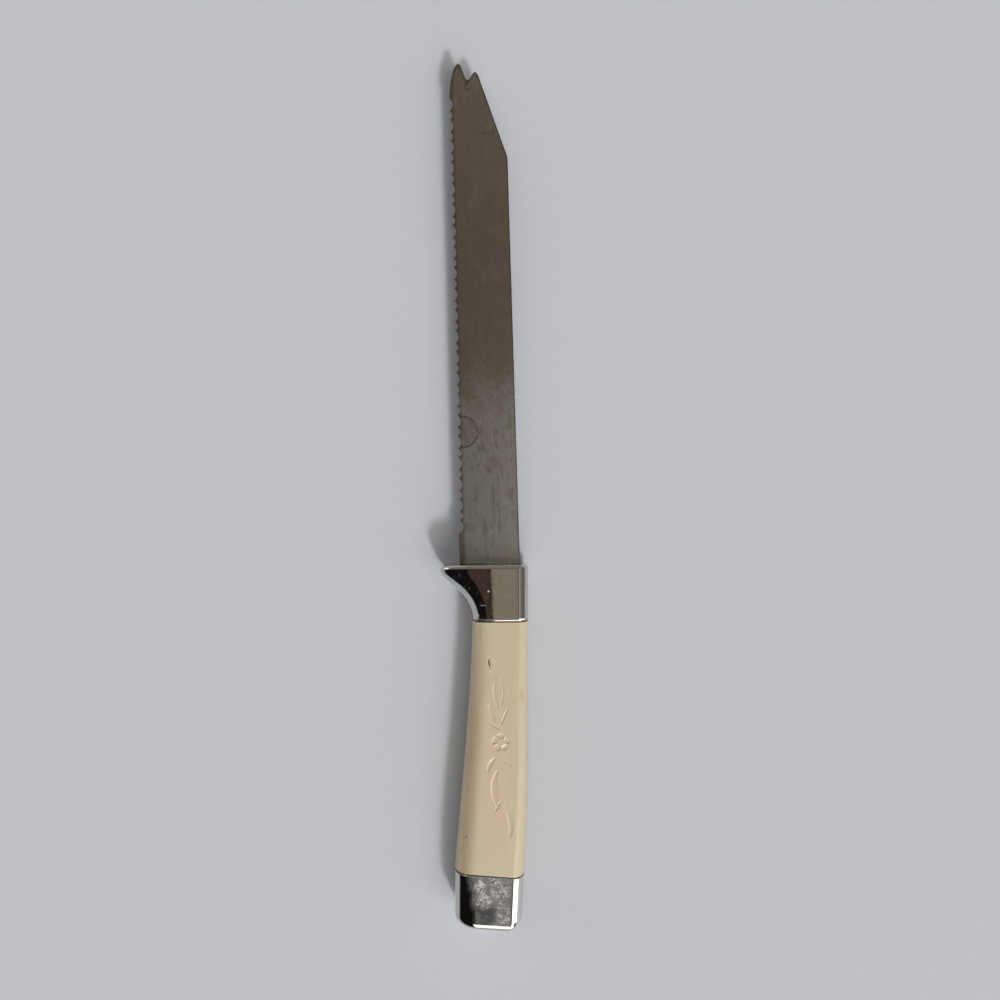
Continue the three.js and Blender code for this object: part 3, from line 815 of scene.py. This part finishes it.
# Cement: dark resin that fills the space round the tang and holds the end cap to the grip. Both fillings
# are hidden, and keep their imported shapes.
CEMENT_DARK = (0.030, 0.017, 0.010, 1)
CEMENT_LIGHT = (0.075, 0.045, 0.026, 1)
CEMENT_GRAIN = 0.05

cement, tree, place = new_finish("dark_cement")
grain = noise(place, (2.0, 2.0, 2.0), 4.0, 0.6)
surface(tree, {
    "Base Color": blend(grain, CEMENT_DARK, CEMENT_LIGHT),
    "Roughness": 0.75 + 0.2 * grain,
    "Normal": bump(tree, grain, CEMENT_GRAIN),
})
for name in ("tang_cement", "cap_cement"):
    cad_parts[name].data.materials.clear()
    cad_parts[name].data.materials.append(cement)

# Grip: cream plastic, moulded in one piece with a tenon at each end and a bore for the rod. It flares and
# drifts towards the edge side, and a sprig with a flower is sunk into its upper face.
GRIP_WIDTH_REAR = 25.5
GRIP_EARLY_PULL = 0.67
GRIP_LATE_PULL = 2.06
EDGE_CORNER_REAR = (8.0, 7.1, 2.7)
SPINE_CORNER_REAR = (4.4, 6.8, 2.0)
FRONT_TENON = {"length": 4.5, "inset": 2.6}
REAR_TENON = {"length": 8.0, "inset": 3.0}
GRIP_AHEAD = 0.23
GRIP_LIP = 0.06
LIP_STEPS = 4
SEAM_AHEAD = 0.35
CAP_TURN = math.radians(-3.707)
SEAM_TURN = math.radians(-4.607)
GRIP_STATIONS = np.concatenate([
    np.linspace(0.004, 0.11, 9), np.linspace(0.112, 0.86, 400), np.linspace(0.87, 0.99, 12),
])
TOP_STEPS = 84
ROD_BORE = 5.8
SOCKET = {"width": 11.6, "height": 5.6, "depth": 12.0}
ROUND_SIDES = 48
GRIP_CREASE = 50

grip_front = np.array([GRIP_CENTRE, -BOLSTER_LENGTH])
grip_rear = grip_front - (GRIP_DRIFT, GRIP_LENGTH)


def middle_line(share):
    """The middle of the grip at a share of its length."""
    early, late = 3 * share * (1 - share) ** 2, 3 * share ** 2 * (1 - share)
    drift = early * GRIP_EARLY_PULL + late * GRIP_LATE_PULL + share ** 3 * GRIP_DRIFT
    return grip_front - (drift, share * GRIP_LENGTH)


def grip_section(share, inset=0.0):
    """The grip's section at a share of its length, drawn in by an inset."""
    flare = share * share * (3 - 2 * share)
    half = (GRIP_WIDTH_FRONT + (GRIP_WIDTH_REAR - GRIP_WIDTH_FRONT) * flare) / 2
    edge_corner, spine_corner = (
        np.array(front) + (np.array(rear) - front) * share
        for front, rear in ((EDGE_CORNER_FRONT, EDGE_CORNER_REAR), (SPINE_CORNER, SPINE_CORNER_REAR))
    )
    return section((half, *edge_corner), (half, *spine_corner), inset, top_steps=TOP_STEPS)


cap_heading = np.array([math.sin(CAP_TURN), -math.cos(CAP_TURN)])


def behind_seam(distance):
    """A place behind the seam, on the line that the end cap points along."""
    return grip_rear + distance * cap_heading


rings = [
    ring(grip_front + (0, FRONT_TENON["length"]), 0, grip_section(0, FRONT_TENON["inset"])),
    ring(grip_front - (0, GRIP_AHEAD), 0, grip_section(0, FRONT_TENON["inset"])),
]
lip_angles = np.linspace(0, math.pi / 2, LIP_STEPS + 1)
lip = [(GRIP_LIP * (1 - math.sin(angle)), GRIP_LIP * (1 - math.cos(angle))) for angle in lip_angles]
for inset, back in lip:
    rings.append(ring(grip_front - (0, GRIP_AHEAD + back), 0, grip_section(0, inset)))
for share in GRIP_STATIONS:
    rings.append(ring(middle_line(share), SEAM_TURN * share, grip_section(share)))
for inset, back in reversed(lip):
    rings.append(ring(behind_seam(-SEAM_AHEAD - back), SEAM_TURN, grip_section(1, inset)))
rings += [
    ring(behind_seam(-SEAM_AHEAD), SEAM_TURN, grip_section(1, REAR_TENON["inset"])),
    ring(behind_seam(REAR_TENON["length"]), SEAM_TURN, grip_section(1, REAR_TENON["inset"])),
]
grip = loft("cream_grip", rings)

rod_run = math.hypot(GRIP_DRIFT, GRIP_LENGTH)
circle = np.linspace(0, 2 * math.pi, ROUND_SIDES, endpoint=False)
bore_outline = np.stack([np.cos(circle), np.sin(circle)], axis=1) * ROD_BORE / 2
bore_ends = [0.0, rod_run + REAR_TENON["length"] + OVERRUN]
rod_heading = np.array([math.sin(-ROD_LEAN), -math.cos(ROD_LEAN)])
bore = loft("bore", [ring(grip_front + rod_heading * end, -ROD_LEAN, bore_outline) for end in bore_ends])
socket = box_on_rod(
    "socket", SOCKET["width"], SOCKET["height"], -FRONT_TENON["length"] - OVERRUN, SOCKET["depth"],
)
join_or_cut(grip, "DIFFERENCE", bore, socket)

# The sprig, as strokes of a gouge: start, bend and end on the upper face, half width, and dirt held in it
SPRIG = [
    ((-12.4, -32.2), (-12.75, -34.6), (-11.65, -36.8), 0.5, 1.0),
    ((-10.6, -33.2), (-9.7, -34.7), (-8.8, -36.5), 0.50, 0.1),
    ((-11.4, -37.2), (-11.0, -38.7), (-10.0, -40.4), 0.55, 0.1),
    ((-10.6, -41.8), (-11.2, -46.0), (-9.6, -50.8), 0.85, 0.0),
    ((-8.0, -42.6), (-7.0, -46.0), (-8.4, -49.6), 0.35, 0.0),
    ((-12.9, -49.7), (-12.3, -51.6), (-10.9, -54.6), 0.75, 0.0),
    ((-13.1, -55.2), (-11.9, -57.3), (-9.2, -58.4), 0.60, 0.0),
    ((-6.1, -51.0), (-7.4, -53.8), (-8.5, -56.5), 0.52, 0.0),
    ((-11.2, -69.0), (-13.5, -70.6), (-13.9, -73.8), 0.85, 0.1),
    ((-8.1, -69.7), (-6.9, -70.5), (-5.6, -72.0), 0.45, 0.0),
    ((-10.6, -73.4), (-13.3, -80.2), (-10.6, -87.0), 1.35, 0.2),
    ((-9.6, -84.8), (-10.9, -85.9), (-11.5, -87.8), 0.50, 0.1),
    ((-8.4, -85.4), (-5.0, -91.6), (-6.7, -97.2), 1.20, 0.25),
]
FLOWER_AT = (-8.95, -63.3)
FLOWER_PETALS = 5
PETAL = {"out": 2.3, "reach": 1.2, "half": 1.1, "dirt": 0.1}
LEAF_POINT = 0.6
PETAL_POINT = 0.35
SPRIG_DEPTH = 0.22
SPRIG_WALL = 0.55
STROKE_STEP = 0.05
STROKE_TIP = 0.12

gouges = [(*stroke, LEAF_POINT) for stroke in SPRIG]
for petal in range(FLOWER_PETALS):
    turn = 2 * math.pi * petal / FLOWER_PETALS
    petal_line = turned([(x * PETAL["reach"], PETAL["out"]) for x in (-1, 0, 1)], turn) + FLOWER_AT
    gouges.append((*petal_line, PETAL["half"], PETAL["dirt"], PETAL_POINT))

stroke_points, half_widths, dirt = [], [], []
for start, bend, end, half, held_dirt, point in gouges:
    steps = int(math.dist(start, end) / STROKE_STEP)
    swell = np.sin(np.linspace(0, math.pi, steps + 1)).clip(0) ** point
    stroke_points += [(x, y, HALF_THICKNESS) for x, y in bezier((start, bend, end), steps)]
    half_widths += list((half * (STROKE_TIP + (1 - STROKE_TIP) * swell)) * MM)
    dirt += [held_dirt] * (steps + 1)
strokes = new_piece("sprig_strokes", stroke_points, [])
for name, values in (("half_width", half_widths), ("dirt", dirt)):
    strokes.data.attributes.new(name, "FLOAT", "POINT").data.foreach_set("value", values)

CREAM_COLOURS = {
    "clear": (0.497, 0.420, 0.291, 1),
    "cloudy": (0.482, 0.404, 0.286, 1),
    "warm": (0.530, 0.392, 0.284, 1),
    # painted shade on the edge-side shoulder
    "shoulder_shade": (0.335, 0.243, 0.150, 1),
    "pale flow": (0.56, 0.465, 0.34, 1),
    "specks": (0.30, 0.21, 0.12, 1),
    "brown stain": (0.42, 0.25, 0.12, 1),
    "dark spot": (0.10, 0.06, 0.04, 1),
    # painted highlight on the walls of the sprig's strokes
    "rubbed wall": (0.66, 0.56, 0.43, 1),
    "held dirt": (0.055, 0.042, 0.018, 1),
}
# Marks on the grip: middle and half size. The front streak is painted shade on the edge-side shoulder; the
# others are a stain and a dark spot
CREAM_MARKS = {
    "front shoulder shade": ((-15.2, -24.2), (0.6, 4.0)),
    "brown stain": ((-1.0, -47.1), (1.3, 3.2)),
    "dark spot": ((-22.5, -97.2), (0.55, 0.55)),
}
CREAM_GRAIN = 0.006

cream, tree, place = new_finish("cream_plastic")
across, along = drawn_place(place)
clouds = noise(place, (0.06, 0.035, 0.06), 3.0, 0.5)
flow = noise(place, (0.5, 0.03, 0.3), 3.0, 0.5)
grain = noise(place, (6.0, 6.0, 6.0), 3.0, 0.6)
specks = noise(place, (1.6, 1.1, 1.6), 2.0, 0.5)
held = place.node("ShaderNodeAttribute", {"attribute_name": "held_dirt"}, (), output=2)
wall_highlight_mask = place.node("ShaderNodeAttribute", {"attribute_name": "rubbed_wall"}, (), output=2)
warm = ramp(along, -38.0, -75.0) * ramp(along, -112.0, -100.0)
warm = warm * ramp(across + 0.06 * along, -23.0, -17.5) * ramp(across - 0.02 * along, -3.6, -7.5)
warm = warm * (0.6 + 0.8 * clouds)
# Painted shade: a darker brown band down the edge-side shoulder, growing from the front towards the rear,
# with a streak of it near the front
from_side = across + 16.1 - 0.1 * along
shoulder_shade = ramp(from_side, 1.2, 2.8) * ramp(from_side, 8.4, 3.6) * ramp(along, -10.0, -70.0)
front_shoulder_shade = spot(across, along, *CREAM_MARKS["front shoulder shade"])
brown_stain = spot(across, along, *CREAM_MARKS["brown stain"]) * ramp(specks, 0.2, 0.6)
dark_spot = spot(across, along, *CREAM_MARKS["dark spot"])
cream_colour = blend(clouds, CREAM_COLOURS["clear"], CREAM_COLOURS["cloudy"])
cream_colour = blend(warm * 0.6, cream_colour, CREAM_COLOURS["warm"])
cream_colour = blend(shoulder_shade * 0.62, cream_colour, CREAM_COLOURS["shoulder_shade"])
cream_colour = blend(front_shoulder_shade * 0.45, cream_colour, CREAM_COLOURS["shoulder_shade"])
cream_colour = blend(ramp(flow, 0.4, 0.7) * 0.12, cream_colour, CREAM_COLOURS["pale flow"])
cream_colour = blend(ramp(specks, 0.66, 0.78) * 0.12, cream_colour, CREAM_COLOURS["specks"])
cream_colour = blend(brown_stain * 0.5, cream_colour, CREAM_COLOURS["brown stain"])
cream_colour = blend(dark_spot * 0.7, cream_colour, CREAM_COLOURS["dark spot"])
# Painted highlight: the walls of the sunk strokes are lighter
cream_colour = blend(wall_highlight_mask * 0.5, cream_colour, CREAM_COLOURS["rubbed wall"])
cream_colour = blend(ramp(held, 0.1, 0.9), cream_colour, CREAM_COLOURS["held dirt"])
surface(tree, {
    "Base Color": cream_colour,
    "Roughness": 0.36 + 0.10 * flow + 0.3 * held,
    "Subsurface Weight": 0.15,
    "Subsurface Radius": (1.0, 0.6, 0.35),
    "Subsurface Scale": 1.5 * MM,
    "Normal": bump(tree, 0.4 * grain + flow, CREAM_GRAIN),
})

sprig_sizes = {
    "Strokes": "Object", "Depth": "Float", "Wall": "Float", "Plastic": "Material",
}
sprig_tree, inputs = node_tree("sunk_sprig", sprig_sizes)
gouged = inputs["Mesh"].node("GeometryNodeObjectInfo", (), {"Object": inputs["Strokes"]}, output=4)
position = gouged.node("GeometryNodeInputPosition")
nearest = gouged.node("GeometryNodeSampleNearest", (), {"Geometry": gouged, "Sample Position": position})


def at_nearest(value, data_type):
    """What the strokes' nearest point holds."""
    return nearest.node("GeometryNodeSampleIndex", {"data_type": data_type}, {
        "Geometry": gouged, "Value": value, "Index": nearest,
    })


def stroke_attribute(name):
    """A value that each point of the strokes holds."""
    return gouged.node("GeometryNodeInputNamedAttribute", {"data_type": "FLOAT"}, {"Name": name})


centre = at_nearest(position, "FLOAT_VECTOR")
half_width = at_nearest(stroke_attribute("half_width"), "FLOAT")
ends = {0: position, 1: centre}
distance = centre.node("ShaderNodeVectorMath", {"operation": "DISTANCE"}, ends, output=1)
sunk = ramp(distance / half_width, 1.0, 1.0 - inputs["Wall"])
down = sunk.node("ShaderNodeCombineXYZ", (), {"Z": sunk * inputs["Depth"] * -1.0})
carved = inputs["Mesh"].node("GeometryNodeSetPosition", (), {"Geometry": inputs["Mesh"], "Offset": down})
# What the strokes leave for the finish: the dirt held in them, and their walls, which get a painted highlight
marks = {
    "held_dirt": sunk * at_nearest(stroke_attribute("dirt"), "FLOAT"),
    "rubbed_wall": sunk * (1 - sunk) * 4.0,
}
for name, value in marks.items():
    carved = carved.node("GeometryNodeStoreNamedAttribute", {"data_type": "FLOAT", "domain": "POINT"}, {
        "Geometry": carved, "Name": name, "Value": value,
    })
carved = carved.node("GeometryNodeRealizeInstances", (), {"Geometry": carved})
carved = carved.node("GeometryNodeSetMaterial", (), {"Geometry": carved, "Material": inputs["Plastic"]})
carved.node("NodeGroupOutput", (), {"Mesh": carved})
grow(grip, sprig_tree, {
    "Strokes": strokes, "Depth": SPRIG_DEPTH * MM, "Wall": SPRIG_WALL, "Plastic": cream,
})
bpy.data.objects.remove(strokes)
smooth_faces(grip, GRIP_CREASE)
hand_in(grip, "grip")

# End cap: a hollow zinc casting with a rounded end, chrome plated, cemented over the grip's rear tenon.
# Years of handling have worn the plate to a patchy grey on its faces.
CAP_LENGTH = 20.2
CAP_TAPER = 0.42
CAP_LEAN = math.radians(1.7)
CAP_END_TURN = math.radians(-4.007)
CAP_WALL = 1.6
CAP_CAVITY = 15.7
CAP_SPINE_CORNER = (4.1, 6.8, 2.0)
CAP_SIDE_ROUND = {"length": 4.2, "inset": 5.4}
CAP_FACE_ROUND = {"length": 3.0, "inset": 2.8}
CAP_END_STEPS = 30
CAP_LIP = 0.2
# Patches of bare plate: how far worn, middle and half size
CAP_PATCHES = [
    (1.0, (-18.0, -115.2), (2.7, 3.8)),
    (0.8, (-16.8, -120.8), (3.4, 3.6)),
    (0.4, (-11.1, -116.8), (4.2, 4.4)),
    (0.4, (-12.9, -113.0), (4.4, 2.0)),
    (0.3, (-9.8, -125.6), (3.8, 3.6)),
]
CAP_TARNISH = ((-17.0, -125.4), (5.8, 5.2))
CAP_BARE_SPOT = ((-23.2, -110.75), (0.55, 0.55))


def cap_ring(distance, inset=0.0, side_inset=None, lean=CAP_LEAN):
    """The end cap's section at a distance behind the seam, stood in its place."""
    at = GRIP_WIDTH_REAR / 2 - CAP_TAPER * distance / CAP_LENGTH
    outline = section((at, *EDGE_CORNER_REAR), (at, *CAP_SPINE_CORNER), inset, side_inset)
    sideways = distance * math.tan(lean) * np.array([-cap_heading[1], cap_heading[0]])
    turn = np.interp(distance, (0, CAP_LENGTH), (SEAM_TURN, CAP_END_TURN))
    return ring(behind_seam(distance) + sideways, turn, outline)


rings = []
for angle in lip_angles:
    back = CAP_LIP * (1 - math.cos(angle))
    rings.append(cap_ring(GAP - SEAM_AHEAD + back, CAP_LIP * (1 - math.sin(angle))))
for angle in np.linspace(0, math.pi / 2, CAP_END_STEPS + 1):
    ahead = CAP_SIDE_ROUND["length"] * (1 - math.sin(angle))
    insets = [rounded_in(ahead, end) for end in (CAP_FACE_ROUND, CAP_SIDE_ROUND)]
    rings.append(cap_ring(CAP_LENGTH - ahead, *insets))
cap = loft("end_cap", rings)
cavity = loft("cavity", [cap_ring(end, CAP_WALL, lean=0) for end in (-OVERRUN, CAP_CAVITY)])
join_or_cut(cap, "DIFFERENCE", cavity)

cap_start = turned(grip_rear, -HANDLE_DROP)
cap_line = turned(cap_heading, -HANDLE_DROP)


def cap_wear(place, across, along):
    """Patches of worn plate over the faces and clear of the edge side, a haze down the spine side, a
    tarnished corner, and dirt in the seam."""
    from_seam = off_line(across, along, cap_start, cap_line)
    sideways = off_line(across, along, cap_start, (-cap_line[1], cap_line[0]))
    blotches = noise(place, (0.26, 0.24, 0.26), 5.0, 0.65)
    speckle = noise(place, (1.1, 1.0, 1.1), 6.0, 0.75)
    faces = ramp(sideways - 0.2 * from_seam + 5.0 * (blotches - 0.5), -8.9, -6.3) * ramp(sideways, 8.6, 8.0)
    faces = faces * ramp(from_seam, 18.0, 17.0)
    patches = sum(amount * spot(across, along, middle, half) for amount, middle, half in CAP_PATCHES)
    patches = patches * ramp(speckle + 0.6 * (blotches - 0.5), 0.28, 0.66)
    tarnish = spot(across, along, *CAP_TARNISH) * ramp(blotches + 0.5 * speckle, 0.5, 0.85)
    thin = (0.10 + 0.30 * ramp(speckle, 0.34, 0.70)) * (1 - 0.75 * tarnish)
    bare_spot = spot(across, along, *CAP_BARE_SPOT)
    worn = faces * (thin + 0.5 * patches) + 0.65 * ramp(sideways, 10.2, 10.9) + bare_spot
    dirt = ramp(from_seam, 0.5, 0.3) * 0.8 * (1 - bare_spot)
    return worn.math("MINIMUM", worn, 0.85), dirt, tarnish * ramp(from_seam, 18.0, 17.0)


cap.data.materials.clear()
cap.data.materials.append(chrome_finish("worn_chrome_plate", cap_wear))
smooth_faces(cap, PLATE_CREASE)
hand_in(cap, "pommel_cap")
